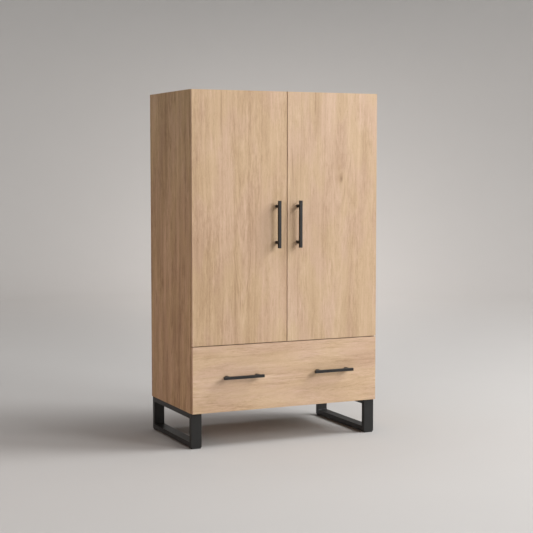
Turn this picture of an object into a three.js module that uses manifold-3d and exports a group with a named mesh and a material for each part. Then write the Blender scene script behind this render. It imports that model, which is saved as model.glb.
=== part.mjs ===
// A free-standing armoire: two tall doors over one wide drawer, on two steel leg frames.
// Millimetres. +X is to the right, +Y to the back, +Z up, the floor is Z = 0 and the front faces -Y.
// Left-hand pieces are modelled, and the right-hand ones are their mirror images.
import * as THREE from 'three';
import { mergeVertices } from 'three/addons/utils/BufferGeometryUtils.js';
import Module from 'manifold-3d';

const wasm = await Module();
wasm.setup();

// ---------------------------------------------------------------- driving dimensions
const WIDTH = 1000;
const HEIGHT = 1718;
const LEG_HEIGHT = 172;
const CASE_DEPTH = 551; // the case alone, without doors
const BOARD = 18;
const BACK_BOARD = 5;
const REBATE = 9; // how far the back panels lap over the case boards

const FRONT_GAP = 2; // bumper thickness, between the case and the doors
const REVEAL = 1; // doors and drawer front stop this far short of the outer faces
const DOOR_GAP = 4; // between the two doors
const DRAWER_GAP = 4; // between the doors and the drawer front
const DRAWER_FRONT_TOP = 495;

const SHELF_BOTTOM = 1482;
const SHELF_DEPTH = 512;
const SHELF_PIN = { radius: 2.4, hole: 2.5, depth: 10, drop: 8, pitch: 32 };
const RAIL_DROP = 42; // from the shelf down to the middle of the clothes rail
const RAIL_RADIUS = 7.5; // of the rail's round edges
const RAIL_STRAIGHT = 15; // between the centres of its round edges
const RAIL_WALL = 1.2;

const BAR = 14; // square section of every handle
const BAR_STANDOFF = 27; // from the front face to the back of the bar
const DOOR_HANDLE = { length: 230, posts: 176, fromMiddle: 57, height: 1074.5 };
const DRAWER_HANDLE = { length: 212, posts: 160, fromMiddle: 245, height: 341.5 };

const TUBE = { width: 54, thickness: 25, backInset: 12 };
const GLIDE = { width: 50, length: 36, corner: 5, inset: 2, height: 6 };

const DRAWER_BOARD = 12;
const DRAWER_DEPTH = 500;
const DRAWER_BOTTOM = { level: 214, thickness: 5, groove: 5 };
const DRAWER_SIDE = { bottom: 204, top: 440 };
const SLIDE = { width: 12.7, length: 500, level: 322, sheet: 1.2, setback: 2 };
// The nested channels of a slide. Webs and flange edges are measured from the case side.
const SLIDE_RAIL = { web: 0, flange: 9.7, height: 46 };
const SLIDE_MIDDLE = { web: 2.1, flange: 10.7, height: 40.4 };
const SLIDE_RUNNER = { web: SLIDE.width, flange: 4.5, height: 30 };

const HINGE_HEIGHTS = { bottom: 599, middle: 1108, top: 1617 };
const CUP = { radius: 17.2, bore: 17.5, depth: 11.5, wall: 1, fromSide: 23.5, flange: 1.2 };
const HINGE_PIN = { radius: 1.25, hole: 1.6, eye: 2.6 };
// Pivots of a concealed hinge, from the outer face of the case side and from its front edge.
const CUP_PIVOT = new THREE.Vector2(14, -5);
const ARM_PIVOT = new THREE.Vector2(50, 6);

// ---------------------------------------------------------------- derived positions
const handleReach = BAR_STANDOFF + BAR;
const back = (CASE_DEPTH + FRONT_GAP + BOARD + handleReach) / 2;
const caseFront = back - CASE_DEPTH;
const frontBack = caseFront - FRONT_GAP; // rear face of the doors and drawer front
const frontFace = frontBack - BOARD;
const outer = WIDTH / 2;
const inner = outer - BOARD;
const caseBottom = LEG_HEIGHT;
const backFace = back - BACK_BOARD; // front face of the back panels
const doorBottom = DRAWER_FRONT_TOP + DRAWER_GAP;
const doorTop = HEIGHT - REVEAL;
const dividerMiddle = DRAWER_FRONT_TOP + DRAWER_GAP / 2;
const drawerOuter = inner - SLIDE.width;
const drawerInner = drawerOuter - DRAWER_BOARD;

// ---------------------------------------------------------------- finishes
const oak = { color: 0xc7aa8b, roughness: 0.62, metalness: 0 };
const drawerWood = { color: 0xd9c6a8, roughness: 0.6, metalness: 0 };
const hardboard = { color: 0x9a7b5c, roughness: 0.75, metalness: 0 };
const blackSteel = { color: 0x262524, roughness: 0.5, metalness: 0.3 };
const zincSteel = { color: 0xb9bcc0, roughness: 0.35, metalness: 1 };
const nickel = { color: 0xc8c6c2, roughness: 0.28, metalness: 1 };
const chrome = { color: 0xd4d6d8, roughness: 0.15, metalness: 1 };
const blackPlastic = { color: 0x1b1b1b, roughness: 0.7, metalness: 0 };
const clearRubber = { color: 0xdedcd6, roughness: 0.5, metalness: 0 };

// ---------------------------------------------------------------- shape helpers
// A box between two opposite corners, whichever way round they are given.
function block(a, b) {
  const size = a.map((value, i) => Math.abs(b[i] - value));
  const middle = a.map((value, i) => (value + b[i]) / 2);
  return new THREE.BoxGeometry(...size).translate(...middle);
}

// An outline swept along an axis. The outline lies in (Y, Z) for x, in (Z, X) for y and in (X, Y) for z.
function prism(axis, outline, from, to, curveSegments = 6) {
  const options = { depth: to - from, bevelEnabled: false, curveSegments };
  const geometry = new THREE.ExtrudeGeometry(outline, options).translate(0, 0, from);
  const [x, y, z] = [[1, 0, 0], [0, 1, 0], [0, 0, 1]].map((v) => new THREE.Vector3(...v));
  const turn = { x: [y, z, x], y: [z, x, y], z: [x, y, z] }[axis];
  return geometry.applyMatrix4(new THREE.Matrix4().makeBasis(...turn));
}

// A round bar along an axis. Its centre lies in that axis's outline plane, and wide bars get more facets.
function rod(axis, [p, q], radius, from, to) {
  const wide = 8;
  const outline = new THREE.Shape().absarc(p, q, radius, 0, 2 * Math.PI);
  return prism(axis, outline, from, to, radius > wide ? 16 : 6);
}

// An upright slot outline with round ends, centred on a point.
function slotOutline(p, q, radius, straight) {
  return new THREE.Shape()
    .absarc(p, q + straight / 2, radius, 0, Math.PI)
    .absarc(p, q - straight / 2, radius, Math.PI, 2 * Math.PI);
}

function polygon(points) {
  return new THREE.Shape(points.map(([p, q]) => new THREE.Vector2(p, q)));
}

function toSolid(geometry) {
  const bare = geometry.clone();
  bare.deleteAttribute('normal');
  bare.deleteAttribute('uv');
  const merged = mergeVertices(bare);
  return new wasm.Manifold(new wasm.Mesh({
    numProp: 3,
    vertProperties: merged.attributes.position.array,
    triVerts: new Uint32Array(merged.index.array),
  }));
}

function toGeometry(solid) {
  const { vertProperties, triVerts } = solid.getMesh();
  const geometry = new THREE.BufferGeometry();
  geometry.setAttribute('position', new THREE.BufferAttribute(vertProperties, 3));
  geometry.setIndex(new THREE.BufferAttribute(triVerts, 1));
  geometry.computeVertexNormals();
  return geometry;
}

function join(first, ...others) {
  return toGeometry(others.reduce((sum, piece) => sum.add(toSolid(piece)), toSolid(first)));
}

function cut(first, ...tools) {
  return toGeometry(tools.reduce((rest, tool) => rest.subtract(toSolid(tool)), toSolid(first)));
}

// ---------------------------------------------------------------- scene helpers
const armoire = new THREE.Group();
const rightHalf = new THREE.Group();
rightHalf.scale.x = -1;
armoire.add(rightHalf);

function add(name, geometry, finish, parent = armoire) {
  const mesh = new THREE.Mesh(geometry, new THREE.MeshStandardMaterial(finish));
  mesh.name = name;
  parent.add(mesh);
  return mesh;
}

// The same piece on the left and, mirrored, on the right.
function addPair(name, geometry, finish, place = [0, 0, 0]) {
  add(name + '_left', geometry, finish).position.set(...place);
  add(name + '_right', geometry, finish, rightHalf).position.set(...place);
}

// ---------------------------------------------------------------- case
const pinRows = [caseFront + 80, backFace - 66];
const pinLevel = SHELF_BOTTOM - SHELF_PIN.drop;

// The holes let the hat shelf move up or down by two steps.
function pinHoles() {
  const steps = [-2, -1, 0, 1, 2];
  return pinRows.flatMap((y) => steps.map((step) => {
    const level = pinLevel + step * SHELF_PIN.pitch;
    return rod('x', [y, level], SHELF_PIN.hole, -inner - SHELF_PIN.depth, -inner + 1);
  }));
}

function sidePanel() {
  const board = block([-outer, caseFront, caseBottom], [-inner, back, HEIGHT]);
  const rebate = block(
    [-inner - REBATE, backFace, caseBottom + REBATE],
    [-inner + 1, back + 1, HEIGHT - REBATE],
  );
  return cut(board, rebate, ...pinHoles());
}

// The top panel, or the bottom panel when it is turned over: its rear edge laps over the back.
function endPanel(outside, inward) {
  const inside = outside + inward * BOARD;
  const board = block([-inner, caseFront, outside], [inner, back, inside]);
  const rebate = block(
    [-inner - 1, backFace, outside + inward * REBATE],
    [inner + 1, back + 1, inside + inward],
  );
  return cut(board, rebate);
}

function backPanel(from, to) {
  const half = inner + REBATE;
  return block([-half, backFace, from], [half, back, to]);
}

function addCase() {
  addPair('side_panel', sidePanel(), oak);
  add('top_panel', endPanel(HEIGHT, -1), oak);
  add('bottom_panel', endPanel(caseBottom, 1), oak);
  add('divider_panel', block(
    [-inner, caseFront, dividerMiddle - BOARD / 2],
    [inner, backFace, dividerMiddle + BOARD / 2],
  ), oak);
  add('back_panel_upper', backPanel(dividerMiddle, HEIGHT - REBATE), hardboard);
  add('back_panel_lower', backPanel(caseBottom + REBATE, dividerMiddle), hardboard);
}

// ---------------------------------------------------------------- hat shelf and clothes rail
// A steel pin in the side panel, with a plate that the shelf lies on.
function shelfPin(y) {
  const half = 6, plate = 1.5, support = 2.5, reach = 14, height = 2 * SHELF_PIN.drop;
  return join(
    rod('x', [y, pinLevel], SHELF_PIN.radius, -inner - SHELF_PIN.depth + 1, -inner + 1),
    block([-inner, y - half, SHELF_BOTTOM - height], [-inner + plate, y + half, SHELF_BOTTOM]),
    block([-inner, y - half, SHELF_BOTTOM - support], [-inner + reach, y + half, SHELF_BOTTOM]),
  );
}

function addShelf() {
  const clearance = 1, behind = 4;
  const rear = backFace - behind;
  add('hat_shelf', block(
    [-inner + clearance, rear - SHELF_DEPTH, SHELF_BOTTOM],
    [inner - clearance, rear, SHELF_BOTTOM + BOARD],
  ), oak);
  addPair('shelf_pin_front', shelfPin(pinRows[0]), zincSteel);
  addPair('shelf_pin_rear', shelfPin(pinRows[1]), zincSteel);
}

const railY = (frontBack + backFace) / 2;
const railZ = SHELF_BOTTOM - RAIL_DROP;
const socketPlate = 3;

function clothesRail() {
  const outline = slotOutline(railY, railZ, RAIL_RADIUS, RAIL_STRAIGHT);
  outline.holes.push(slotOutline(railY, railZ, RAIL_RADIUS - RAIL_WALL, RAIL_STRAIGHT));
  const end = inner - socketPlate - 0.5;
  return prism('x', outline, -end, end);
}

// A screwed plate with a collar that is open at the top, so the rail drops into it.
function railSocket() {
  const fit = 0.4, wall = 2.2, collar = 11;
  const slot = RAIL_RADIUS + fit;
  const plateEnd = -inner + socketPlate;
  const outside = join(
    prism('x', slotOutline(railY, railZ, slot + wall + 5, RAIL_STRAIGHT), -inner, plateEnd),
    prism('x', slotOutline(railY, railZ, slot + wall, RAIL_STRAIGHT), -inner, plateEnd + collar),
  );
  return cut(
    outside,
    prism('x', slotOutline(railY, railZ, slot, RAIL_STRAIGHT), plateEnd, plateEnd + collar + 1),
    block([plateEnd, railY - slot, railZ], [plateEnd + collar + 1, railY + slot, railZ + 30]),
  );
}

function addRail() {
  add('clothes_rail', clothesRail(), chrome);
  addPair('rail_socket', railSocket(), zincSteel);
}

// ---------------------------------------------------------------- doors, handles and bumpers
const hingeLevels = Object.values(HINGE_HEIGHTS);

function door() {
  const boreX = -outer + CUP.fromSide, boreFloor = frontBack - CUP.depth - 0.5;
  const slab = block([-outer + REVEAL, frontFace, doorBottom], [-DOOR_GAP / 2, frontBack, doorTop]);
  const bores = hingeLevels.map((z) => rod('y', [z, boreX], CUP.bore, boreFloor, frontBack + 1));
  return cut(slab, ...bores);
}

// A square bar on two square posts. The bar runs along X, or along Z when it is upright.
function handle({ length, posts, fromMiddle, height }, upright) {
  const half = BAR / 2;
  const along = (p, across) => (upright ? [across, p] : [p, across]);
  const at = (y, [dx, dz]) => [-fromMiddle + dx, y, height + dz];
  const post = (p) => block(
    at(frontFace, along(p - half, -half)),
    at(frontFace - BAR_STANDOFF - 1, along(p + half, half)),
  );
  const bar = block(
    at(frontFace - BAR_STANDOFF, along(-length / 2, -half)),
    at(frontFace - BAR_STANDOFF - BAR, along(length / 2, half)),
  );
  return join(bar, post(-posts / 2), post(posts / 2));
}

const bumper = (x, z) => rod('y', [z, x], 4, frontBack, caseFront);

function addDoors() {
  addPair('door', door(), oak);
  addPair('door_handle', handle(DOOR_HANDLE, true), blackSteel);
  addPair('door_bumper', bumper(-30, HEIGHT - BOARD / 2), clearRubber);
}

// ---------------------------------------------------------------- concealed hinges
// Each piece is drawn from the outer face of the left side panel (x), its front edge (y) and the
// middle of the hinge (z).
function hingeCup() {
  const face = -FRONT_GAP, floor = face - CUP.depth, proud = face + CUP.flange;
  const mouth = CUP.radius - CUP.wall;
  const profile = [
    [0, floor], [CUP.radius, floor], [CUP.radius, face + 0.5], [mouth, face + 0.5],
    [mouth, floor + CUP.wall], [0, floor + CUP.wall],
  ].map(([r, y]) => new THREE.Vector2(r, y));
  const bowl = new THREE.LatheGeometry(profile, 32).translate(CUP.fromSide, 0, 0);
  const rim = rod('y', [0, CUP.fromSide], CUP.radius + 2.3, face, proud);
  const ears = block([CUP.fromSide + 2, face, -29], [CUP.fromSide + 17, proud, 29]);
  const opening = rod('y', [0, CUP.fromSide], mouth, floor + CUP.wall, proud + 1);
  const flange = cut(join(rim, ears), opening);
  const lug = (side) => block(
    [CUP_PIVOT.x - 5, floor + 0.5, side * 6],
    [CUP_PIVOT.x + 4, CUP_PIVOT.y + 2, side * 8.5],
  );
  const pin = rod('z', [CUP_PIVOT.x, CUP_PIVOT.y], HINGE_PIN.radius, -7, 7);
  return join(bowl, flange, lug(1), lug(-1), pin);
}

// An arched strap from the cup's pin to the arm's pin. The arch clears the cup's rim when the door is open.
function hingeLink() {
  const half = 5, thickness = 2, rise = 4, steps = 12;
  const along = ARM_PIVOT.clone().sub(CUP_PIVOT);
  const outward = new THREE.Vector2(along.y, -along.x).normalize();
  const middle = Array.from({ length: steps + 1 }, (_, i) => {
    const t = i / steps;
    const height = rise * Math.sin(Math.PI * t ** 0.45);
    return CUP_PIVOT.clone().addScaledVector(along, t).addScaledVector(outward, height);
  });
  const edge = (side) => middle.map((p) => p.clone().addScaledVector(outward, side * thickness / 2));
  const strap = prism('z', new THREE.Shape([...edge(-1), ...edge(1).reverse()]), -half, half);
  const ends = [CUP_PIVOT, ARM_PIVOT];
  const eyes = ends.map((p) => rod('z', [p.x, p.y], HINGE_PIN.eye, -half, half));
  const holes = ends.map((p) => rod('z', [p.x, p.y], HINGE_PIN.hole, -half - 1, half + 1));
  return cut(join(strap, ...eyes), ...holes);
}

// The mounting plate with its wings, the tapered arm and the two ears that hold the link's pin.
function hingeArm() {
  const half = 7.5, ear = 2;
  const plate = block([BOARD, 10, -8], [BOARD + 3, 66, 8]);
  const wings = block([BOARD, 30, -24], [BOARD + 2.5, 44, 24]);
  const { x, y } = ARM_PIVOT;
  const body = polygon([
    [BOARD + 2, 58], [BOARD + 2, 20], [BOARD + 12, 18], [x - 6, y + 6],
    [x - 2.5, y + 4.4], [x + 3, y + 5], [BOARD + 13, 58],
  ]);
  const cheek = polygon([[x - 6, y + 7], [x - 3, y - 1.5], [x, y - 3], [x + 3, y - 1.5], [x + 3, y + 7]]);
  return join(
    plate,
    wings,
    prism('z', body, -half, half),
    prism('z', cheek, half - ear, half),
    prism('z', cheek, -half, ear - half),
    rod('z', [x, y], HINGE_PIN.radius, 0.5 - half, half - 0.5),
  );
}

function addHinges() {
  const cup = hingeCup(), link = hingeLink(), arm = hingeArm();
  for (const [level, z] of Object.entries(HINGE_HEIGHTS)) {
    const place = [-outer, caseFront, z];
    addPair('hinge_cup_' + level, cup, nickel, place);
    addPair('hinge_link_' + level, link, nickel, place);
    addPair('hinge_arm_' + level, arm, nickel, place);
  }
}

// ---------------------------------------------------------------- drawer and its slides
const drawerRear = frontBack + DRAWER_DEPTH;

function drawerBottom(clearance = 0) {
  const half = drawerInner + DRAWER_BOTTOM.groove;
  const { level, thickness } = DRAWER_BOTTOM;
  return block(
    [-half, frontBack - DRAWER_BOTTOM.groove, level],
    [half, drawerRear + clearance, level + thickness],
  );
}

function addDrawer() {
  const { bottom, top } = DRAWER_SIDE;
  const groove = drawerBottom(1);
  const front = block(
    [-outer + REVEAL, frontFace, caseBottom + REVEAL],
    [outer - REVEAL, frontBack, DRAWER_FRONT_TOP],
  );
  const side = block([-drawerOuter, frontBack, bottom], [-drawerInner, drawerRear, top]);
  const bottomTop = DRAWER_BOTTOM.level + DRAWER_BOTTOM.thickness;
  add('drawer_front', cut(front, groove), oak);
  addPair('drawer_side', cut(side, groove), drawerWood);
  add('drawer_bottom', drawerBottom(), drawerWood);
  add('drawer_back', block(
    [-drawerInner, drawerRear - DRAWER_BOARD, bottomTop],
    [drawerInner, drawerRear, top - 10],
  ), drawerWood);
  addPair('drawer_handle', handle(DRAWER_HANDLE, false), blackSteel);
  addPair('drawer_bumper', bumper(-outer + BOARD / 2, 240), clearRubber);
}

// A channel of folded sheet, with a web and two flanges.
function channel({ web, flange, height }) {
  const webX = -inner + web, flangeX = -inner + flange;
  const open = Math.sign(flangeX - webX);
  const front = caseFront + SLIDE.setback, rear = front + SLIDE.length;
  const half = height / 2, hollow = half - SLIDE.sheet;
  return cut(
    block([webX, front, SLIDE.level - half], [flangeX, rear, SLIDE.level + half]),
    block(
      [webX + open * SLIDE.sheet, front - 1, SLIDE.level - hollow],
      [flangeX + open, rear + 1, SLIDE.level + hollow],
    ),
  );
}

function addSlides() {
  addPair('slide_cabinet_rail', channel(SLIDE_RAIL), zincSteel);
  addPair('slide_middle_member', channel(SLIDE_MIDDLE), zincSteel);
  addPair('slide_drawer_runner', channel(SLIDE_RUNNER), zincSteel);
}

// ---------------------------------------------------------------- leg frames
// A flat pad with round corners.
function glide(x, y) {
  const { width, length, corner, height } = GLIDE;
  const p = width / 2 - corner, q = length / 2 - corner;
  const outline = new THREE.Shape()
    .absarc(x + p, y + q, corner, 0, Math.PI / 2)
    .absarc(x - p, y + q, corner, Math.PI / 2, Math.PI)
    .absarc(x - p, y - q, corner, Math.PI, 1.5 * Math.PI)
    .absarc(x + p, y - q, corner, 1.5 * Math.PI, 2 * Math.PI);
  return prism('z', outline, 0, height, 4);
}

function addLegFrames() {
  const front = caseFront, rear = back - TUBE.backInset;
  const left = -outer, t = TUBE.thickness;
  const loop = polygon([
    [front, GLIDE.height], [rear, GLIDE.height], [rear, LEG_HEIGHT], [front, LEG_HEIGHT],
  ]);
  loop.holes.push(polygon([
    [front + t, GLIDE.height + t], [rear - t, GLIDE.height + t],
    [rear - t, LEG_HEIGHT - t], [front + t, LEG_HEIGHT - t],
  ]));
  addPair('leg_frame', prism('x', loop, left, left + TUBE.width), blackSteel);
  const reach = GLIDE.inset + GLIDE.length / 2;
  addPair('glide_front', glide(left + TUBE.width / 2, front + reach), blackPlastic);
  addPair('glide_rear', glide(left + TUBE.width / 2, rear - reach), blackPlastic);
}

addCase();
addShelf();
addRail();
addDoors();
addHinges();
addDrawer();
addSlides();
addLegFrames();

export default armoire;
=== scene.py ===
"""An oak armoire with two doors over a wide drawer, on black steel leg frames.

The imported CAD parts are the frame. This script gives them materials and soft edges, adds the
small hardware that rides on them, and sets up a plain studio. Lengths are in metres.
"""
import math
import random

import bmesh
import bpy
from mathutils import Matrix, Vector


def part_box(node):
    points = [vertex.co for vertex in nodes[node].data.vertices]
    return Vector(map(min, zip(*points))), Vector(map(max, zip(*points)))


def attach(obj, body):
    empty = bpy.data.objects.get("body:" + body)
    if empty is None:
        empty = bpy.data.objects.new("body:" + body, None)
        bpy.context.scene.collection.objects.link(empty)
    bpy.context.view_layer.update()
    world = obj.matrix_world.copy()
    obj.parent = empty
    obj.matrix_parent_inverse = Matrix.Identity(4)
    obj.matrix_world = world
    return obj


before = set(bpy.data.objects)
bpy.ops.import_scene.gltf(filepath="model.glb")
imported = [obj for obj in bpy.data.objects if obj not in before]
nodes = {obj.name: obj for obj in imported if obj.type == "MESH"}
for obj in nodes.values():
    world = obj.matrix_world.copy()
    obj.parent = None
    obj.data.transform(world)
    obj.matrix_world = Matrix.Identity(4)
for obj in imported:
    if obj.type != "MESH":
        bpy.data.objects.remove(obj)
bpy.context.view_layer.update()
SIDES = {"left": -1, "right": 1}
HINGE_LEVELS = ("bottom", "middle", "top")
MM = 0.001


# ------------------------------------------------------------------ shader graphs
class Graph:
    """A node tree under construction. Inputs may be numbers, colours, vectors or sockets."""

    def __init__(self, tree):
        self.tree = tree
        tree.nodes.clear()

    def node(self, kind, inputs=(), **settings):
        made = self.tree.nodes.new(kind)
        for key, value in settings.items():
            setattr(made, key, value)
        pairs = inputs.items() if isinstance(inputs, dict) else enumerate(inputs)
        for key, value in pairs:
            if isinstance(value, bpy.types.NodeSocket):
                self.tree.links.new(value, made.inputs[key])
            else:
                made.inputs[key].default_value = value
        return made

    def math(self, operation, *values):
        return self.node("ShaderNodeMath", values, operation=operation).outputs[0]

    def vector(self, operation, *values):
        return self.node("ShaderNodeVectorMath", values, operation=operation).outputs[0]

    def split(self, vector):
        return self.node("ShaderNodeSeparateXYZ", [vector]).outputs

    def pack(self, x, y, z):
        return self.node("ShaderNodeCombineXYZ", [x, y, z]).outputs[0]

    def noise(self, at, density, detail=2.0, roughness=0.5):
        """Noise with so many cells to the metre, either alike in all directions or along each."""
        each = density if isinstance(density, tuple) else (density, density, density)
        place = self.vector("MULTIPLY", at, each)
        inputs = {"Vector": place, "Scale": 1.0, "Detail": detail, "Roughness": roughness}
        return self.node("ShaderNodeTexNoise", inputs).outputs[0]

    def noise_1d(self, position, density, detail, roughness):
        inputs = {"W": position, "Scale": density, "Detail": detail, "Roughness": roughness}
        return self.node("ShaderNodeTexNoise", inputs, noise_dimensions="1D").outputs[0]

    def fit(self, value, low, high, to_low=0.0, to_high=1.0, smooth=True):
        kind = "SMOOTHSTEP" if smooth else "LINEAR"
        values = [value, low, high, to_low, to_high]
        return self.node("ShaderNodeMapRange", values, interpolation_type=kind).outputs[0]

    def swing(self, value, amount):
        """A 0 to 1 value as a swing either side of zero."""
        return self.math("MULTIPLY", self.math("SUBTRACT", value, 0.5), amount)

    def total(self, *values):
        result = values[0]
        for value in values[1:]:
            result = self.math("ADD", result, value)
        return result

    def product(self, *values):
        result = values[0]
        for value in values[1:]:
            result = self.math("MULTIPLY", result, value)
        return result

    def squares(self, a, b):
        return self.total(self.product(a, a), self.product(b, b))

    def mix(self, factor, a, b, blend="MIX"):
        inputs = {0: factor, 6: a, 7: b}
        return self.node("ShaderNodeMix", inputs, data_type="RGBA", blend_type=blend).outputs[2]

    def surface(self, colour, roughness, height=None, depth=0.0, **sockets):
        """Ends the tree in one principled surface. Height is in units of depth, in metres."""
        values = {"Base Color": colour, "Roughness": roughness}
        for key, value in sockets.items():
            values[key.replace("_", " ")] = value
        if height is not None:
            relief = {"Strength": 1.0, "Distance": depth, "Height": height}
            values["Normal"] = self.node("ShaderNodeBump", relief).outputs[0]
        shader = self.node("ShaderNodeBsdfPrincipled", values)
        self.node("ShaderNodeOutputMaterial", [shader.outputs[0]])


def new_material(name):
    material = bpy.data.materials.new(name)
    material.use_nodes = True
    return material, Graph(material.node_tree)


def linear(red, green, blue):
    """A colour on the usual 0 to 255 scale as linear light."""
    def one(value):
        value /= 255
        return value / 12.92 if value <= 0.04045 else ((value + 0.055) / 1.055) ** 2.4
    return (one(red), one(green), one(blue), 1.0)


def object_place(g):
    return g.node("ShaderNodeTexCoord").outputs["Object"]


# ------------------------------------------------------------------ oak
OAK_SOCKETS = {
    "INPUT": {
        "Vector": "Vector", "Offset": "Vector", "Heart": "Float", "Heart Depth": "Float",
        "Tone": "Float", "Figure": "Float", "Knot": "Vector",
    },
    "OUTPUT": {"Color": "Color", "Roughness": "Float", "Height": "Float"},
}
OAK_DARK = linear(153, 119, 85)
OAK_MIDDLE = linear(196, 166, 135)
OAK_LIGHT = linear(219, 193, 165)
OAK_KNOT = linear(140, 110, 82)
OAK_YELLOW = (1.0, 1.006, 0.965, 1.0)
OAK_PINK = (1.0, 0.985, 1.032, 1.0)
OAK_ROUGHNESS = 0.50
# Noise in the wood: cells per metre across and along the grain, octaves and roughness.
OAK_NOISE = {
    "wander": (2.2, 0.7, 1.0, 0.5),
    "sway": (9.0, 2.2, 2.0, 0.5),
    "ripple": (70.0, 16.0, 2.0, 0.5),
    "cloud": (5.0, 0.9, 2.0, 0.5),
    "mottle": (16.0, 2.4, 3.0, 0.5),
    "streak": (95.0, 11.0, 2.0, 0.55),
    "fleck": (240.0, 30.0, 2.0, 0.6),
    "fibre": (900.0, 30.0, 2.0, 0.65),
    "pore": (1700.0, 75.0, 1.0, 0.5),
    "vein": (85.0, 2.4, 1.0, 0.5),
    "patch": (14.0, 4.0, 2.0, 0.5),
    "blush": (11.0, 3.5, 2.0, 0.5),
}
# Noise that follows the growth rings: cells per metre of radius, octaves and roughness.
RING_NOISE = {
    "broad": (42.0, 2.0, 0.6),
    "fine": (170.0, 2.0, 0.6),
    "arch": (190.0, 1.0, 0.5),
    "strength": (22.0, 1.0, 0.5),
}
# How far the rings stray, in metres, and how much the log tapers per metre of its length.
RING_STRAY = {"wander": 0.10, "sway": 0.016, "ripple": 0.0026}
LEVEL_TAPER, POINTED_TAPER = -0.012, -0.085
RINGS_PER_METRE = 230.0
HEART_FALL = -160.0
# How far each layer moves the tone, which runs from 0, dark, to 1, light.
TONE_SWING = {
    "cloud": 0.40, "mottle": 0.58, "broad": 0.38, "fine": 0.16, "arch": 0.42, "streak": 0.50,
    "fleck": 0.42, "fibre": 0.34,
}
LATE_WOOD_TONE, VEIN_TONE, PORE_TONE, KNOT_TONE = -0.10, -0.30, -0.40, -0.24
# The part of a layer's 0 to 1 over which it sets in, and for the patches also what it goes from
# and to. Late wood grows across each ring and stops short at its end.
LATE_START, LATE_STOP = (0.30, 0.92), (1.0, 0.94)
RING_STRENGTH, PORES_OPEN, VEINS_SHOWN = (0.35, 0.75), (0.60, 0.72), (0.715, 0.79)
PATCHES, BLUSHES = (0.36, 0.66, 0.35, 1.25), (0.38, 0.62)
PORES_LOST_IN_LATE_WOOD = 0.7
# What the fibres, pores and late wood add to the roughness and the height.
FIBRE_ROUGHNESS, PORE_ROUGHNESS = 0.10, 0.20
FIBRE_HEIGHT, PORE_HEIGHT, LATE_WOOD_HEIGHT = 0.35, -0.8, 0.18
# The knot's rings bulge round it, its shade is smaller, and its dark eye smaller still. Each is a
# width and a height in knot sizes.
KNOT_BULGE, KNOT_SHADE, KNOT_EYE = (4.0, 12.0), (2.4, 5.0), (1.1, 2.2)
KNOT_BULGE_DEPTH, KNOT_EYE_STRENGTH = 0.006, 0.85


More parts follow.
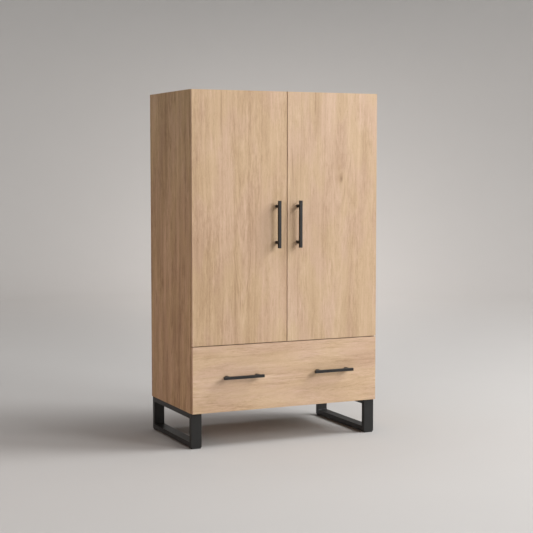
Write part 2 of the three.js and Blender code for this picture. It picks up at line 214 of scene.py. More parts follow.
def oak_group():
    """Colour, roughness and height of oak. The grain runs along the third coordinate."""
    tree = bpy.data.node_groups.new("oak_wood", "ShaderNodeTree")
    for way, sockets in OAK_SOCKETS.items():
        for name, kind in sockets.items():
            tree.interface.new_socket(name, in_out=way, socket_type="NodeSocket" + kind)
    g = Graph(tree)
    given = g.node("NodeGroupInput").outputs
    at = given["Vector"]
    moved = g.vector("ADD", at, given["Offset"])
    u, v, w = g.split(at)
    knot_u, knot_w, knot_size = g.split(given["Knot"])
    layer = {
        name: g.noise(moved, (across, across, along), *rest)
        for name, (across, along, *rest) in OAK_NOISE.items()
    }

    def stray(name):
        return g.swing(layer[name], RING_STRAY[name])

    def tone_of(name, value):
        return g.swing(value, TONE_SWING[name])

    knot_du = g.math("DIVIDE", g.math("SUBTRACT", u, knot_u), knot_size)
    knot_dw = g.math("DIVIDE", g.math("SUBTRACT", w, knot_w), knot_size)

    def knot_spot(wide, high):
        apart = g.squares(g.math("DIVIDE", knot_du, wide), g.math("DIVIDE", knot_dw, high))
        return g.math("EXPONENT", g.product(apart, -1.0))

    # Two distances from the heart of the log: one nearly level, for the bands that run the whole
    # board, and one that tapers, for the pointed arches where the cut passes near the heart.
    across = g.total(g.math("SUBTRACT", u, given["Heart"]), stray("wander"))
    square = g.squares(across, g.math("ADD", v, given["Heart Depth"]))
    radius = g.math("SQRT", square)
    bulge = g.product(knot_spot(*KNOT_BULGE), KNOT_BULGE_DEPTH)
    seed = g.split(given["Offset"])[0]
    level, pointed = (
        g.total(radius, g.product(w, taper), stray("sway"), stray("ripple"), bulge, seed)
        for taper in (LEVEL_TAPER, POINTED_TAPER)
    )

    # Tone: broad bands, single rings, short streaks and fibres.
    broad = g.noise_1d(level, *RING_NOISE["broad"])
    fine = g.noise_1d(level, *RING_NOISE["fine"])
    arch = g.noise_1d(pointed, *RING_NOISE["arch"])
    near_heart = g.math("EXPONENT", g.product(square, HEART_FALL))
    ring = g.math("FRACT", g.product(level, RINGS_PER_METRE))
    late = g.product(g.fit(ring, *LATE_START), g.fit(ring, *LATE_STOP))
    strength = g.fit(g.noise_1d(level, *RING_NOISE["strength"]), *RING_STRENGTH)
    pores_kept = g.math("SUBTRACT", 1.0, g.product(late, PORES_LOST_IN_LATE_WOOD))
    pore = g.product(g.fit(layer["pore"], *PORES_OPEN), pores_kept)
    vein = g.fit(layer["vein"], *VEINS_SHOWN)
    patchy = g.fit(layer["patch"], *PATCHES)
    figure = g.total(
        tone_of("cloud", layer["cloud"]),
        tone_of("mottle", layer["mottle"]),
        tone_of("broad", broad),
        tone_of("fine", fine),
        g.product(near_heart, tone_of("arch", arch)),
        g.product(patchy, tone_of("streak", layer["streak"])),
        g.product(patchy, tone_of("fleck", layer["fleck"])),
        g.product(late, strength, LATE_WOOD_TONE),
    )
    tone = g.total(
        given["Tone"],
        g.product(figure, given["Figure"]),
        tone_of("fibre", layer["fibre"]),
        g.product(vein, VEIN_TONE),
        g.product(pore, PORE_TONE),
        g.product(knot_spot(*KNOT_SHADE), KNOT_TONE),
    )
    ramp = g.node("ShaderNodeValToRGB", [tone])
    stops = ramp.color_ramp.elements
    stops[0].position, stops[0].color = 0.0, OAK_DARK
    stops[1].position, stops[1].color = 1.0, OAK_LIGHT
    stops.new(0.5).color = OAK_MIDDLE
    warm = g.mix(g.fit(layer["blush"], *BLUSHES), OAK_YELLOW, OAK_PINK)
    tinted = g.mix(1.0, ramp.outputs[0], warm, "MULTIPLY")
    eye = g.product(knot_spot(*KNOT_EYE), KNOT_EYE_STRENGTH)
    fibre = layer["fibre"]
    roughness = g.total(
        OAK_ROUGHNESS, g.swing(fibre, FIBRE_ROUGHNESS), g.product(pore, PORE_ROUGHNESS)
    )
    height = g.total(
        g.product(pore, PORE_HEIGHT),
        g.swing(fibre, FIBRE_HEIGHT),
        g.product(late, LATE_WOOD_HEIGHT),
    )
    colour = g.mix(eye, tinted, OAK_KNOT)
    g.node("NodeGroupOutput", {"Color": colour, "Roughness": roughness, "Height": height})
    return tree


oak_tree = oak_group()
END_GRAIN_FACING = 0.7
NO_KNOT = (9.0, 9.0, 0.01)
OAK_RELIEF = 0.00012


def board_coordinates(g, axes):
    """Object coordinates in the order (across, through, along). On the ends of a board the grain
    runs across, as it does in an edge band."""
    place = g.node("ShaderNodeTexCoord").outputs
    parts = dict(zip("xyz", g.split(place["Object"])))
    facing = dict(zip("xyz", g.split(place["Normal"])))
    across, through, along = (parts[axis] for axis in axes)
    end = g.math("GREATER_THAN", g.math("ABSOLUTE", facing[axes[2]]), END_GRAIN_FACING)
    face = g.pack(across, through, along)
    band = g.pack(along, through, across)
    mixed = g.node("ShaderNodeMix", {0: end, 4: face, 5: band}, data_type="VECTOR")
    return mixed.outputs[1], facing


def random_offset(seed):
    rng = random.Random(seed)
    return [rng.uniform(1.0, 30.0) for _ in range(3)]


def oak_field(g, axes, seed, heart, heart_depth, tone=0.5, figure=1.0, knot=NO_KNOT):
    vector, facing = board_coordinates(g, axes)
    wood = g.node("ShaderNodeGroup", node_tree=oak_tree)
    g.tree.links.new(vector, wood.inputs["Vector"])
    wood.inputs["Offset"].default_value = random_offset(seed)
    wood.inputs["Heart"].default_value = heart
    wood.inputs["Heart Depth"].default_value = heart_depth
    wood.inputs["Tone"].default_value = tone
    wood.inputs["Figure"].default_value = figure
    wood.inputs["Knot"].default_value = knot
    return wood.outputs, facing


def oak_material(name, *field, tint=(1.0, 1.0, 1.0), gloss=0.5, **options):
    material, g = new_material(name)
    wood, _ = oak_field(g, *field, **options)
    # The tint multiplies the wood colour. On the drawer front it is painted light, and on the side
    # panels it is painted warm shade.
    colour = g.mix(1.0, wood["Color"], (*tint, 1.0), "MULTIPLY")
    relief = wood["Height"]
    g.surface(colour, wood["Roughness"], relief, OAK_RELIEF, Specular_IOR_Level=gloss)
    return material


# ------------------------------------------------------------------ other finishes
NAIL_LINE = 0.4865
NAIL_PITCH = 0.150
NAIL_RADIUS = 0.0021
NAIL_STEEL = linear(172, 174, 176)
BACK_HEART = (0.10, -0.25)
HARDBOARD_DARK, HARDBOARD_LIGHT = linear(104, 76, 52), linear(148, 116, 84)
HARDBOARD_FLAKES, HARDBOARD_CLOUDS = (260.0, 3.0, 0.7), (9.0, 3.0, 0.6)
HARDBOARD_ROUGHNESS, HARDBOARD_RELIEF = 0.62, 0.00010
FLAKE_TONE, CLOUD_TONE, FLAKE_ROUGHNESS = 0.9, 0.6, 0.2
NAIL_ROUGHNESS, NAIL_HEIGHT = -0.30, -3.0
FACING_FRONT, FACING_REAR = -0.5, 0.5
# Each finish as its dark and its light shade.
BIRCH = (linear(198, 174, 138), linear(226, 208, 178))
COAT = (linear(15, 15, 14), linear(28, 27, 26))
ZINC = (linear(150, 152, 155), linear(190, 192, 196))
NICKEL = (linear(172, 168, 160), linear(205, 202, 195))
CHROME = (linear(196, 198, 200), linear(220, 221, 223))
BLACK_PLASTIC = (linear(22, 22, 22), linear(34, 34, 33))
OAK_PLASTIC = (linear(190, 158, 124), linear(204, 174, 142))
CLEAR_RUBBER = (linear(214, 212, 205), linear(228, 226, 220))
BIRCH_ROUGHNESS = 0.52
# How each finish is grained: its relief in metres, then a coarse and a fine noise. A noise is its
# cells per metre, octaves and harshness, and how far it swings the tone and the roughness.
BIRCH_GRAIN = {
    "relief": 0.00006,
    "coarse": ((26.0, 26.0, 3.0), 3.0, 0.55, 0.9, 0.0),
    "fine": ((500.0, 500.0, 14.0), 2.0, 0.6, 0.7, 0.12),
}
COAT_GRAIN = {
    "relief": 0.00008,
    "coarse": (14.0, 3.0, 0.6, 0.6, 0.10),
    "fine": (1500.0, 2.0, 0.6, 0.5, 0.16),
}
METAL_GRAIN = {
    "relief": 0.00002,
    "coarse": (40.0, 3.0, 0.6, 0.7, 0.14),
    "fine": (230.0, 2.0, 0.5, 0.5, 0.06),
}
DRAWN_GRAIN = {**METAL_GRAIN, "coarse": ((5.0, 120.0, 120.0), 3.0, 0.6, 0.7, 0.14)}
PLASTIC_GRAIN = {
    "relief": 0.00003,
    "coarse": (30.0, 2.0, 0.6, 0.8, 0.0),
    "fine": (900.0, 2.0, 0.6, 0.3, 0.12),
}


def nail_spots(g, at, levels):
    """Small nail heads along both sides of the back and along the given levels."""
    x, _, z = g.split(at)
    down_sides = g.math("SUBTRACT", g.math("ABSOLUTE", x), NAIL_LINE)

    def spots(to_line, along):
        step = g.math("SUBTRACT", g.math("FLOORED_MODULO", along, NAIL_PITCH), NAIL_PITCH / 2)
        return g.math("LESS_THAN", g.squares(to_line, step), NAIL_RADIUS**2)

    found = spots(down_sides, z)
    for level in levels:
        found = g.math("MAXIMUM", found, spots(g.math("SUBTRACT", z, level), x))
    return found


def back_panel_material(name, seed, nail_levels):
    """Hardboard with an oak print on its front face and nail heads in its rear face."""
    material, g = new_material(name)
    wood, facing = oak_field(g, "xyz", seed, *BACK_HEART)
    at = object_place(g)
    flake = g.noise(at, *HARDBOARD_FLAKES)
    cloud = g.noise(at, *HARDBOARD_CLOUDS)
    tone = g.total(0.5, g.swing(flake, FLAKE_TONE), g.swing(cloud, CLOUD_TONE))
    brown = g.mix(tone, HARDBOARD_DARK, HARDBOARD_LIGHT)
    printed = g.math("LESS_THAN", facing["y"], FACING_FRONT)
    rear = g.math("GREATER_THAN", facing["y"], FACING_REAR)
    nail = g.product(nail_spots(g, at, nail_levels), rear)
    colour = g.mix(nail, g.mix(printed, brown, wood["Color"]), NAIL_STEEL)
    roughness = g.total(
        HARDBOARD_ROUGHNESS, g.swing(flake, FLAKE_ROUGHNESS), g.product(nail, NAIL_ROUGHNESS)
    )
    height = g.total(flake, g.product(nail, NAIL_HEIGHT))
    g.surface(colour, roughness, height, HARDBOARD_RELIEF, Metallic=nail)
    return material


def grained_surface(g, at, shades, roughness, relief, coarse, fine, **sockets):
    """Shades from dark to light by a coarse and a fine noise, with the fine one in relief."""
    tones, roughs = [0.5], [roughness]
    for density, octaves, harshness, tone_swing, rough_swing in (coarse, fine):
        layer = g.noise(at, density, octaves, harshness)
        tones.append(g.swing(layer, tone_swing))
        roughs.append(g.swing(layer, rough_swing))
    colour = g.mix(g.total(*tones), *shades)
    g.surface(colour, g.total(*roughs), layer, relief, **sockets)


def light_wood_material(name, axes, seed):
    """Smooth pale birch for the drawer box."""
    material, g = new_material(name)
    vector, _ = board_coordinates(g, axes)
    at = g.vector("ADD", vector, random_offset(seed))
    grained_surface(g, at, BIRCH, BIRCH_ROUGHNESS, **BIRCH_GRAIN)
    return material


def grained_material(name, shades, roughness, grain, **sockets):
    material, g = new_material(name)
    grained_surface(g, object_place(g), shades, roughness, **grain, **sockets)
    return material


coat = grained_material("black_powder_coat", COAT, 0.46, COAT_GRAIN, Specular_IOR_Level=0.46)
zinc = grained_material("zinc_plate", ZINC, 0.38, METAL_GRAIN, Metallic=1.0)
nickel = grained_material("nickel_plate", NICKEL, 0.30, METAL_GRAIN, Metallic=1.0)
chrome = grained_material("chrome_rail", CHROME, 0.16, DRAWN_GRAIN, Metallic=1.0)
black_plastic = grained_material("black_plastic", BLACK_PLASTIC, 0.62, PLASTIC_GRAIN)
oak_plastic = grained_material("oak_cap_plastic", OAK_PLASTIC, 0.5, PLASTIC_GRAIN)
rubber = grained_material(
    "clear_rubber", CLEAR_RUBBER, 0.42, PLASTIC_GRAIN, Transmission_Weight=0.35
)


# ------------------------------------------------------------------ the CAD parts
SHARP_ANGLE, FLAT_ANGLE = math.radians(35), math.radians(1)
WELD_DISTANCE = 0.00001


def soften(thing, edge, segments=2):
    """A bevel on the sharp edges. Its width is in millimetres."""
    bevel = thing.modifiers.new("soft_edges", "BEVEL")
    bevel.width = edge * MM
    bevel.segments = segments
    bevel.limit_method = "ANGLE"
    bevel.angle_limit = SHARP_ANGLE
    return bevel


def finish_node(name, material, edge, segments=2):
    """Gives a CAD part its material and soft edges. Edge is in millimetres."""
    part = nodes[name]
    part.data.materials.clear()
    part.data.materials.append(material)
    weld = part.modifiers.new("weld", "WELD")
    weld.merge_threshold = WELD_DISTANCE
    flatten = part.modifiers.new("flatten", "DECIMATE")
    flatten.decimate_type = "DISSOLVE"
    flatten.angle_limit = FLAT_ANGLE
    bevel = soften(part, edge, segments)
    bevel.harden_normals = True
    bevel.miter_outer = "MITER_ARC"
    smooth = part.modifiers.new("even_shading", "WEIGHTED_NORMAL")
    smooth.keep_sharp = False


# Each board: the axes across, through and along it, a seed, and the place of the log's heart.
BOARDS = {
    "door_left": ("xyz", 11, -0.232, 0.300),
    "door_right": ("xyz", 27, 0.275, 0.325),
    "drawer_front": ("zyx", 35, 0.22, 0.330),
    "side_panel_left": ("yxz", 41, 0.02, 0.545),
    "side_panel_right": ("yxz", 58, 0.05, -0.550),
    "top_panel": ("yzx", 63, 0.05, -1.780),
    "bottom_panel": ("yzx", 71, -0.02, -0.120),
    "divider_panel": ("yzx", 86, 0.08, -0.560),
    "hat_shelf": ("yzx", 94, 0.00, -1.560),
}
# The knot is given by its place across and along the board, and its size.
BOARD_OPTIONS = {
    "door_left": {"tint": (1.0, 0.99, 0.97)},
    "door_right": {"knot": (0.299, 1.2945, 0.0053), "tone": 0.52},
    # The drawer front is lightened to make up for the light that falls off low on the front:
    # painted light.
    "drawer_front": {"tint": (1.07, 1.07, 1.09)},
    # The side panels' warm tints are painted warm shade: strongest and darkest on the left panel,
    # milder on the right one.
    "side_panel_left": {"tint": (0.94, 0.92, 0.77), "figure": 2.0},
    "side_panel_right": {"tint": (0.98, 0.965, 0.90), "figure": 1.5},
    "top_panel": {"gloss": 0.04},
}
BOARD_EDGE = 0.45
# Each back panel: a seed and the levels of its rows of nails.
BACK_PANELS = {"upper": (101, (0.5015, 1.7045)), "lower": (102, (0.1855, 0.4925))}
BACK_EDGE, DRAWER_BOX_EDGE, DRAWER_BOTTOM_EDGE = 0.3, 0.5, 0.3
# Parts that come once a side: material, edge in millimetres and segments of the edge.
FITTINGS = {
    "leg_frame": (coat, 1.4, 3),
    "door_handle": (coat, 0.8, 3),
    "drawer_handle": (coat, 0.8, 3),
    "door_bumper": (rubber, 0.5),
    "drawer_bumper": (rubber, 0.5),
    "glide_front": (black_plastic, 0.8),
    "glide_rear": (black_plastic, 0.8),
    "shelf_pin_front": (zinc, 0.3),
    "shelf_pin_rear": (zinc, 0.3),
    "rail_socket": (zinc, 0.5),
    "slide_cabinet_rail": (zinc, 0.3),
    "slide_middle_member": (zinc, 0.3),
    "slide_drawer_runner": (zinc, 0.3),
}
HINGE_EDGE, RAIL_EDGE = 0.3, 0.2


def finish_boards():
    for board, field in BOARDS.items():
        oak = oak_material("oak_" + board, *field, **BOARD_OPTIONS.get(board, {}))
        finish_node(board, oak, BOARD_EDGE)
    for place, (seed, nail_levels) in BACK_PANELS.items():
        hardboard = back_panel_material(f"back_board_{place}", seed, nail_levels)
        finish_node(f"back_panel_{place}", hardboard, BACK_EDGE)


def finish_drawer_box():
    side_birch = light_wood_material("birch_side", "zxy", 103)
    back_birch = light_wood_material("birch_back", "zyx", 104)
    base_birch = light_wood_material("birch_base", "yzx", 105)
    finish_node("drawer_side_left", side_birch, DRAWER_BOX_EDGE)
    finish_node("drawer_side_right", side_birch, DRAWER_BOX_EDGE)
    finish_node("drawer_back", back_birch, DRAWER_BOX_EDGE)
    finish_node("drawer_bottom", base_birch, DRAWER_BOTTOM_EDGE)


def finish_fittings():
    for side in SIDES:
        for part, finish in FITTINGS.items():
            finish_node(f"{part}_{side}", *finish)
        for level in HINGE_LEVELS:
            for part in ("cup", "link", "arm"):
                finish_node(f"hinge_{part}_{level}_{side}", nickel, HINGE_EDGE)
    finish_node("clothes_rail", chrome, RAIL_EDGE)


finish_boards()
finish_drawer_box()
finish_fittings()


# ------------------------------------------------------------------ added hardware
def piece(name, mesh, material, body, edge=0.0):
    """A shown piece that rides on a body and takes its finish from a slot."""
    data = bpy.data.meshes.new(name)
    bmesh.ops.recalc_face_normals(mesh, faces=mesh.faces)
    mesh.to_mesh(data)
    mesh.free()
    made = bpy.data.objects.new(name, data)
    bpy.context.scene.collection.objects.link(made)
    data.materials.append(material)
    if edge:
        soften(made, edge)
    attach(made, body)


def ring_points(radius, height, count):
    angles = (2 * math.pi * i / count for i in range(count))
    return [(radius * math.cos(a), radius * math.sin(a), height) for a in angles]


def add_rings(mesh, rings, place, close_first=False, close_last=True):
    """Skins a stack of rings with equal counts, each a list of points, moved by a matrix."""
    loops = [[mesh.verts.new(place @ Vector(p)) for p in points] for points in rings]
    for low, high in zip(loops, loops[1:]):
        count = len(low)
        for i in range(count):
            j = (i + 1) % count
            mesh.faces.new((low[i], low[j], high[j], high[i]))
    if close_first:
        mesh.faces.new(list(reversed(loops[0])))
    if close_last:
        mesh.faces.new(loops[-1])
    return loops


def facing_matrix(centre, outward, turn=0.0):
    """Places a shape drawn along +Z so that it stands on a point and faces outward."""
    z = Vector(outward).normalized()
    x = z.orthogonal().normalized()
    y = z.cross(x)
    basis = Matrix((x, y, z)).transposed().to_4x4()
    return Matrix.Translation(Vector(centre)) @ basis @ Matrix.Rotation(turn, 4, "Z")


rng = random.Random(7)
SCREW_SIDES = 16
# The head's outline, as parts of its radius and height.
SCREW_PROFILE = ((1.0, 0.0), (1.0, 0.30), (0.93, 0.62), (0.78, 0.88), (0.60, 1.0))
# The cross recess: half its length and width as parts of the radius, and how it narrows.
CROSS_ARM, CROSS_HALF = 0.46, 0.13
CROSS_TAPER, CROSS_FLOOR = 0.72, 0.35


def add_screw(mesh, centre, outward, head):
    """A pan head with a cross recess, standing on a face at a random turn. The head is its
    radius and height."""
    radius, height = head
    place = facing_matrix(centre, outward, rng.uniform(0, math.pi / 2))
    rings = [ring_points(radius * r, height * h, SCREW_SIDES) for r, h in SCREW_PROFILE]
    loops = add_rings(mesh, rings, place, close_first=True, close_last=False)
    arm, half = CROSS_ARM * radius, CROSS_HALF * radius
    cross = [
        (arm, -half), (arm, half), (half, half), (half, arm), (-half, arm), (-half, half),
        (-arm, half), (-arm, -half), (-half, -half), (-half, -arm), (half, -arm), (half, -half),
    ]

    def cross_at(scale, level):
        return [mesh.verts.new(place @ Vector((x * scale, y * scale, level))) for x, y in cross]

    top, base = cross_at(1.0, height), cross_at(CROSS_TAPER, height * CROSS_FLOOR)
    edges = []
    for loop in (loops[-1], top):
        for a, b in zip(loop, loop[1:] + loop[:1]):
            edges.append(mesh.edges.get((a, b)) or mesh.edges.new((a, b)))
    bmesh.ops.triangle_fill(mesh, edges=edges, use_beauty=True)
    for i in range(len(cross)):
        j = (i + 1) % len(cross)
        mesh.faces.new((top[i], top[j], base[j], base[i]))
    mesh.faces.new(base)


def add_disc(mesh, centre, outward, profile, count):
    """A turned shape standing on a face. The profile holds pairs of radius and height."""
    rings = [ring_points(r, h, count) for r, h in profile]
    add_rings(mesh, rings, facing_matrix(centre, outward), close_first=True)


BOX_FACES = ((0, 1, 3, 2), (4, 6, 7, 5), (0, 4, 5, 1), (2, 3, 7, 6), (0, 2, 6, 4), (1, 5, 7, 3))


def add_box(mesh, x_ends, y_ends, z_ends):
    corners = [mesh.verts.new((x, y, z)) for x in x_ends for y in y_ends for z in z_ends]
    for face in BOX_FACES:
        mesh.faces.new([corners[i] for i in face])


def middle(node):
    low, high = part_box(node)
    return (low + high) / 2


def inner_face(node, sign):
    """The x of the face that a part on one side of the armoire turns to the middle."""
    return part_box(node)[0 if sign > 0 else 1].x


def rear_face(node):
    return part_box(node)[1].y


# Screw heads: radius and height.
EAR_SCREW = (0.0033, 0.0016)
WING_SCREW = (0.0034, 0.0017)
ADJUSTING_SCREW = (0.0036, 0.0009)
HANDLE_SCREW = (0.0045, 0.0022)
SOCKET_SCREW = (0.0019, 0.0009)
SLIDE_SCREW = (0.0042, 0.0006)
LEG_SCREW = (0.0052, 0.0026)
BRACKET_SCREW = (0.0036, 0.0018)
CORNER_SCREW = (0.0035, 0.0006)

# Hinges: the x of the cup's ears, the y of the arm's wings, their thickness and half their
# screws' pitch, then the adjusting screws' x and y and the slope of the arm they stand on.
EAR_X, EAR_THICKNESS, EAR_RISE = 0.467, 0.0012, 0.0235
WING_Y, WING_THICKNESS, WING_RISE = -0.208, 0.0025, 0.0185
ADJUSTING_PLACES = ((0.4637, -0.1992), (0.4544, -0.2188))
ARM_OUTWARD = (0.906, 0.424)


def add_hinge_screws(side, sign):
    """Screws through the cup ears into the door, and through the arm's wings into the side."""
    cup_screws, arm_screws = bmesh.new(), bmesh.new()
    ear_y = rear_face(f"door_{side}") + EAR_THICKNESS
    wing_x = inner_face(f"side_panel_{side}", sign) - sign * WING_THICKNESS
    arm_outward = (-sign * ARM_OUTWARD[0], ARM_OUTWARD[1], 0)
    for level in HINGE_LEVELS:
        z = middle(f"hinge_cup_{level}_{side}").z
        for up in (-1, 1):
            ear = (sign * EAR_X, ear_y, z + up * EAR_RISE)
            wing = (wing_x, WING_Y, z + up * WING_RISE)
            add_screw(cup_screws, ear, (0, 1, 0), EAR_SCREW)
            add_screw(arm_screws, wing, (-sign, 0, 0), WING_SCREW)
        for x, y in ADJUSTING_PLACES:
            add_screw(arm_screws, (sign * x, y, z), arm_outward, ADJUSTING_SCREW)
    piece(f"hinge_cup_screws_{side}", cup_screws, nickel, f"{side}_door")
    piece(f"hinge_arm_screws_{side}", arm_screws, nickel, "case")


# From a handle's middle to its posts.
DOOR_POST, DRAWER_POST = 0.088, 0.080


def add_handle_screws():
    for side in SIDES:
        mesh = bmesh.new()
        y = rear_face(f"door_{side}")
        handle = middle(f"door_handle_{side}")
        for up in (-1, 1):
            spot = (handle.x, y, handle.z + up * DOOR_POST)
            add_screw(mesh, spot, (0, 1, 0), HANDLE_SCREW)
        piece(f"door_handle_screws_{side}", mesh, zinc, f"{side}_door")
    mesh = bmesh.new()
    y = rear_face("drawer_front")
    for side in SIDES:
        handle = middle(f"drawer_handle_{side}")
        for along in (-1, 1):
            spot = (handle.x + along * DRAWER_POST, y, handle.z)
            add_screw(mesh, spot, (0, 1, 0), HANDLE_SCREW)
    piece("drawer_handle_screws", mesh, zinc, "drawer")


SOCKET_PLATE, SOCKET_SCREW_RISE = 0.003, 0.0202


def add_rail_screws():
    mesh = bmesh.new()
    for side, sign in SIDES.items():
        socket = middle(f"rail_socket_{side}")
        x = inner_face(f"side_panel_{side}", sign) - sign * SOCKET_PLATE
        for up in (-1, 1):
            spot = (x, socket.y, socket.z + up * SOCKET_SCREW_RISE)
            add_screw(mesh, spot, (-sign, 0, 0), SOCKET_SCREW)
    piece("rail_socket_screws", mesh, zinc, "case")


# Slides: the x of the faces that take screws, the screws' distances from a slide's front and rear
# end, and the cages of balls that run above and below its middle.
CASE_RAIL_X, RUNNER_X = 0.4808, 0.4705
CASE_SCREW_YS, CASE_REAR_SCREW = (0.037, 0.261), 0.044
RUNNER_SCREW_YS, RUNNER_REAR_SCREW = (0.035, 0.163), 0.052
CAGE_X, CAGE_START, CAGE_RISE = 0.4746, 0.010, 0.0170
CAGE_HALF_WIDTH, CAGE_HALF_THICKNESS, CAGE_LENGTH = 0.0015, 0.0004, 0.190
BALLS, BALL_RADIUS, BALL_SIDES, BALL_STEPS = 16, 0.0016, 10, 6


def add_slide_parts(side, sign):
    """Flush screws in both rails of a slide, and the ball cages inside its middle member."""
    level = middle(f"slide_cabinet_rail_{side}").z
    front, rear = (corner.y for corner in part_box(f"slide_cabinet_rail_{side}"))
    case_screws, runner_screws, cages = bmesh.new(), bmesh.new(), bmesh.new()
    for y in [front + step for step in CASE_SCREW_YS] + [rear - CASE_REAR_SCREW]:
        add_screw(case_screws, (sign * CASE_RAIL_X, y, level), (-sign, 0, 0), SLIDE_SCREW)
    for y in [front + step for step in RUNNER_SCREW_YS] + [rear - RUNNER_REAR_SCREW]:
        add_screw(runner_screws, (sign * RUNNER_X, y, level), (sign, 0, 0), SLIDE_SCREW)
    angles = (math.pi * k / BALL_STEPS for k in range(1, BALL_STEPS))
    ball = [(math.sin(a) * BALL_RADIUS, -math.cos(a) * BALL_RADIUS) for a in angles]
    x, start = sign * CAGE_X, front + CAGE_START
    for up in (-1, 1):
        z = level + up * CAGE_RISE
        add_box(
            cages,
            (x - CAGE_HALF_WIDTH, x + CAGE_HALF_WIDTH),
            (start, start + CAGE_LENGTH),
            (z - CAGE_HALF_THICKNESS, z + CAGE_HALF_THICKNESS),
        )
        for i in range(BALLS):
            y = start + CAGE_LENGTH * (i + 0.5) / BALLS
            add_disc(cages, (x, y, z), (0, 0, 1), ball, BALL_SIDES)
    piece(f"slide_case_screws_{side}", case_screws, zinc, "case")
    piece(f"slide_runner_screws_{side}", runner_screws, zinc, "drawer")
    piece(f"slide_ball_cages_{side}", cages, nickel, "slide_middles")


# Cam covers: their domed outline, and their places across and along the boards.
CAM_DOME = ((0.0085, 0.0), (0.0085, 0.0004), (0.0080, 0.0008), (0.0040, 0.0010))
CAM_SIDES, CAM_XS, CAM_YS = 24, (-0.448, 0.448), (-0.190, 0.250)


def add_cam_covers():
    """Caps over the cam locks, under the top, under the divider and over the bottom."""
    mesh = bmesh.new()
    faces = (
        (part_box("top_panel")[0].z, -1),
        (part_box("divider_panel")[0].z, -1),
        (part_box("bottom_panel")[1].z, 1),
    )
    for z, up in faces:
        for x in CAM_XS:
            for y in CAM_YS:
                add_disc(mesh, (x, y, z), (0, 0, up), CAM_DOME, CAM_SIDES)
    piece("cam_covers", mesh, oak_plastic, "case")


# Leg tabs: from an end of the leg frame to a tab's middle, the tab's size, its screw's place and
# its soft edge in millimetres.
TAB_INSET, TAB_HALF_WIDTH, TAB_LENGTH, TAB_THICKNESS = 0.085, 0.020, 0.034, 0.003
TAB_SCREW_REACH, TAB_EDGE = 0.019, 0.6


def add_leg_tabs():
    """Steel tabs on the inner side of each leg frame, screwed up into the bottom panel."""
    for side, sign in SIDES.items():
        low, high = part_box(f"leg_frame_{side}")
        tabs, screws = bmesh.new(), bmesh.new()
        inner = inner_face(f"leg_frame_{side}", sign)
        underside = high.z - TAB_THICKNESS
        x_ends = sorted((inner, inner - sign * TAB_LENGTH))
        for y in (low.y + TAB_INSET, high.y - TAB_INSET):
            add_box(tabs, x_ends, (y - TAB_HALF_WIDTH, y + TAB_HALF_WIDTH), (underside, high.z))
            spot = (inner - sign * TAB_SCREW_REACH, y, underside)
            add_screw(screws, spot, (0, 0, -1), LEG_SCREW)
        piece(f"leg_tabs_{side}", tabs, coat, "case", TAB_EDGE)
        piece(f"leg_screws_{side}", screws, zinc, "case")


# Drawer brackets: thickness, length and half width of an angle, its screws' place, its soft edge in
# millimetres and its levels, then the levels of the corner screws.
BRACKET_SHEET, BRACKET_ARM, BRACKET_HALF = 0.0015, 0.022, 0.009
BRACKET_SCREW_REACH, BRACKET_EDGE = 0.014, 0.3
BRACKET_LEVELS, CORNER_LEVELS = (0.262, 0.398), (0.240, 0.405)
DRAWER_SIDE_INNER, DRAWER_SIDE_OUTER = 0.4573, 0.4693


def add_drawer_fixings():
    """Angle brackets behind the drawer front, and screws through the sides into the back."""
    brackets, screws = bmesh.new(), bmesh.new()
    front = rear_face("drawer_front")
    rear = middle("drawer_back").y
    for sign in SIDES.values():
        inner = sign * DRAWER_SIDE_INNER
        for z in BRACKET_LEVELS:
            z_ends = (z - BRACKET_HALF, z + BRACKET_HALF)
            for wide, deep in ((BRACKET_SHEET, BRACKET_ARM), (BRACKET_ARM, BRACKET_SHEET)):
                x_ends = sorted((inner, inner - sign * wide))
                add_box(brackets, x_ends, (front, front + deep), z_ends)
            on_side = (inner - sign * BRACKET_SHEET, front + BRACKET_SCREW_REACH, z)
            on_front = (inner - sign * BRACKET_SCREW_REACH, front + BRACKET_SHEET, z)
            add_screw(screws, on_side, (-sign, 0, 0), BRACKET_SCREW)
            add_screw(screws, on_front, (0, 1, 0), BRACKET_SCREW)
        for z in CORNER_LEVELS:
            add_screw(screws, (sign * DRAWER_SIDE_OUTER, rear, z), (sign, 0, 0), CORNER_SCREW)
    piece("drawer_brackets", brackets, zinc, "drawer", BRACKET_EDGE)
    piece("drawer_corner_screws", screws, zinc, "drawer")


for side, sign in SIDES.items():
    add_hinge_screws(side, sign)
    add_slide_parts(side, sign)
add_handle_screws()
add_rail_screws()
add_cam_covers()
add_leg_tabs()
add_drawer_fixings()


# ------------------------------------------------------------------ studio
STUDIO_PAINT = linear(186, 184, 182)
PAINT_MOTTLE, PAINT_CELLS = 0.02, 3.0
PAINT_ROUGHNESS, PAINT_GLOSS = 0.8, 0.2
# The far floor and the wall glow softly. The glow grows with the distance from the object, fades
# up the wall, and is strongest in a pool straight behind the object.
GLOW_COLOUR = (1.0, 0.913, 0.85, 1.0)
GLOW_POOL, GLOW_REST = 0.255, 0.140
GLOW_START, GLOW_FULL, GLOW_GROWTH = 0.85, 6.5, 0.71
GLOW_TOP, GLOW_FADE = 3.45, 1.09
POOL_WAY, POOL_FALL = (0.442, 0.897), -31.5
# The floor is a disc that curves up into a round wall.
FLOOR_RADIUS, RING_STEP = 7.2, 0.4
COVE_RADIUS, COVE_STEPS = 2.4, 14
WALL_HEIGHT, WALL_SIDES = 6.5, 96
AIM_HEIGHT = 0.85
WHITE = (1.0, 1.0, 1.0)
AMBER = (1.0, 0.3, 0.02)


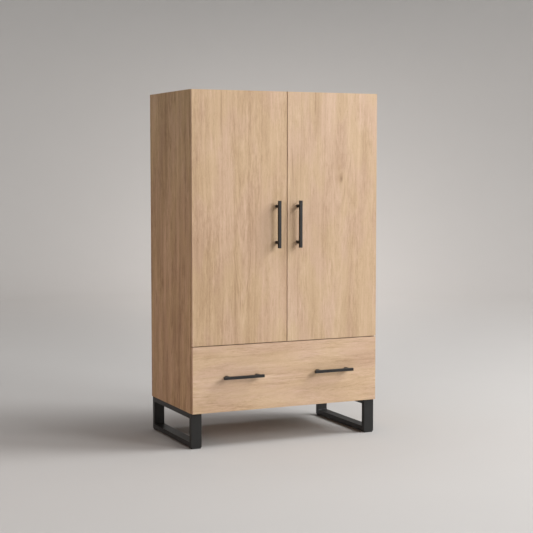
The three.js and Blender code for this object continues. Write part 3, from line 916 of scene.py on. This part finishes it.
def studio_material():
    """Plain pale greige that glows softly behind the object."""
    material, g = new_material("studio_paint")
    at = object_place(g)
    x, y, z = g.split(at)
    reach = g.math("SQRT", g.squares(x, y))
    tone = g.total(1.0, g.swing(g.noise(at, PAINT_CELLS), PAINT_MOTTLE))
    colour = g.mix(1.0, STUDIO_PAINT, g.pack(tone, tone, tone), "MULTIPLY")
    ahead = g.total(g.product(x, POOL_WAY[0]), g.product(y, POOL_WAY[1]))
    aside = g.math("SUBTRACT", 1.0, g.math("DIVIDE", ahead, reach))
    pool = g.math("EXPONENT", g.product(aside, POOL_FALL))
    growth = g.fit(reach, GLOW_START, GLOW_FULL, smooth=False)
    fade = g.fit(z, 0.0, GLOW_TOP, 1.0, 0.0, smooth=False)
    far, rise = g.math("POWER", growth, GLOW_GROWTH), g.math("POWER", fade, GLOW_FADE)
    glow = g.product(far, rise, g.total(g.product(pool, GLOW_POOL), GLOW_REST))
    g.surface(
        colour,
        PAINT_ROUGHNESS,
        Specular_IOR_Level=PAINT_GLOSS,
        Emission_Color=GLOW_COLOUR,
        Emission_Strength=glow,
    )
    return material


def add_studio():
    mesh = bmesh.new()
    flat_rings = int((FLOOR_RADIUS - RING_STEP) / RING_STEP) + 1
    profile = [(RING_STEP + i * RING_STEP, 0.0) for i in range(flat_rings)]
    for i in range(COVE_STEPS):
        angle = math.pi / 2 * (i + 1) / COVE_STEPS
        out, up = COVE_RADIUS * math.sin(angle), COVE_RADIUS * (1 - math.cos(angle))
        profile.append((FLOOR_RADIUS + out, up))
    profile.append((FLOOR_RADIUS + COVE_RADIUS, WALL_HEIGHT))
    rings = [ring_points(radius, height, WALL_SIDES) for radius, height in profile]
    add_rings(mesh, rings, Matrix.Identity(4), close_first=True, close_last=False)
    data = bpy.data.meshes.new("studio_floor")
    bmesh.ops.recalc_face_normals(mesh, faces=mesh.faces)
    mesh.to_mesh(data)
    mesh.free()
    data.shade_smooth()
    floor = bpy.data.objects.new("studio_floor", data)
    bpy.context.scene.collection.objects.link(floor)
    data.materials.append(studio_material())


def add_light(
    name, toward, distance, size, power, colour=WHITE, aim_height=AIM_HEIGHT, spread=180
):
    """A soft box in the direction (azimuth right of the front, elevation), aimed at the object.
    The spread is the angle that its light fans out over."""
    azimuth, elevation = (math.radians(a) for a in toward)
    direction = Vector((
        math.sin(azimuth) * math.cos(elevation),
        -math.cos(azimuth) * math.cos(elevation),
        math.sin(elevation),
    ))
    data = bpy.data.lights.new(name, "AREA")
    data.shape = "RECTANGLE"
    data.size, data.size_y = size
    data.energy = power
    data.spread = math.radians(spread)
    data.color = colour
    lamp = bpy.data.objects.new(name, data)
    bpy.context.scene.collection.objects.link(lamp)
    lamp.location = Vector((0, 0, aim_height)) + direction * distance
    lamp.rotation_euler = direction.to_track_quat("Z", "Y").to_euler()
    lamp.visible_camera = False


def add_world():
    """No light from outside the studio."""
    world = bpy.data.worlds.new("studio_air")
    world.use_nodes = True
    background = world.node_tree.nodes["Background"]
    background.inputs["Color"].default_value = (1, 1, 1, 1)
    background.inputs["Strength"].default_value = 0.0
    bpy.context.scene.world = world
    bpy.context.scene.view_settings.view_transform = "Standard"
    bpy.context.scene.view_settings.look = "None"


add_studio()
add_light("key_softbox", (33, 26), 9.0, (2.8, 2.8), 310, aim_height=0.3)
add_light("side_softbox", (70, 44), 10.0, (4.2, 4.2), 632, aim_height=0.6)
add_light("far_softbox", (62, 26), 9.2, (3.4, 3.4), 232, aim_height=0.6)
add_light("top_fill", (0, 88), 4.6, (4.5, 4.5), 121)
add_light("left_bounce", (-85, 8), 5.0, (2.5, 0.8), 2.3, AMBER, aim_height=0.4, spread=50)
add_world()

# ------------------------------------------------------------------ camera
# From the front and the left, a little below the top and looking slightly down.
CAMERA_PLACE = (-2.7518, -5.9689, 1.3506)
CAMERA_TILT, CAMERA_TURN = 85.63, -24.84
LENS, SENSOR_WIDTH = 87.6, 36
camera_data = bpy.data.cameras.new("camera")
camera_data.lens = LENS
camera_data.sensor_width = SENSOR_WIDTH
camera = bpy.data.objects.new("camera", camera_data)
bpy.context.scene.collection.objects.link(camera)
camera.location = CAMERA_PLACE
camera.rotation_euler = (math.radians(CAMERA_TILT), 0, math.radians(CAMERA_TURN))
bpy.context.scene.camera = camera
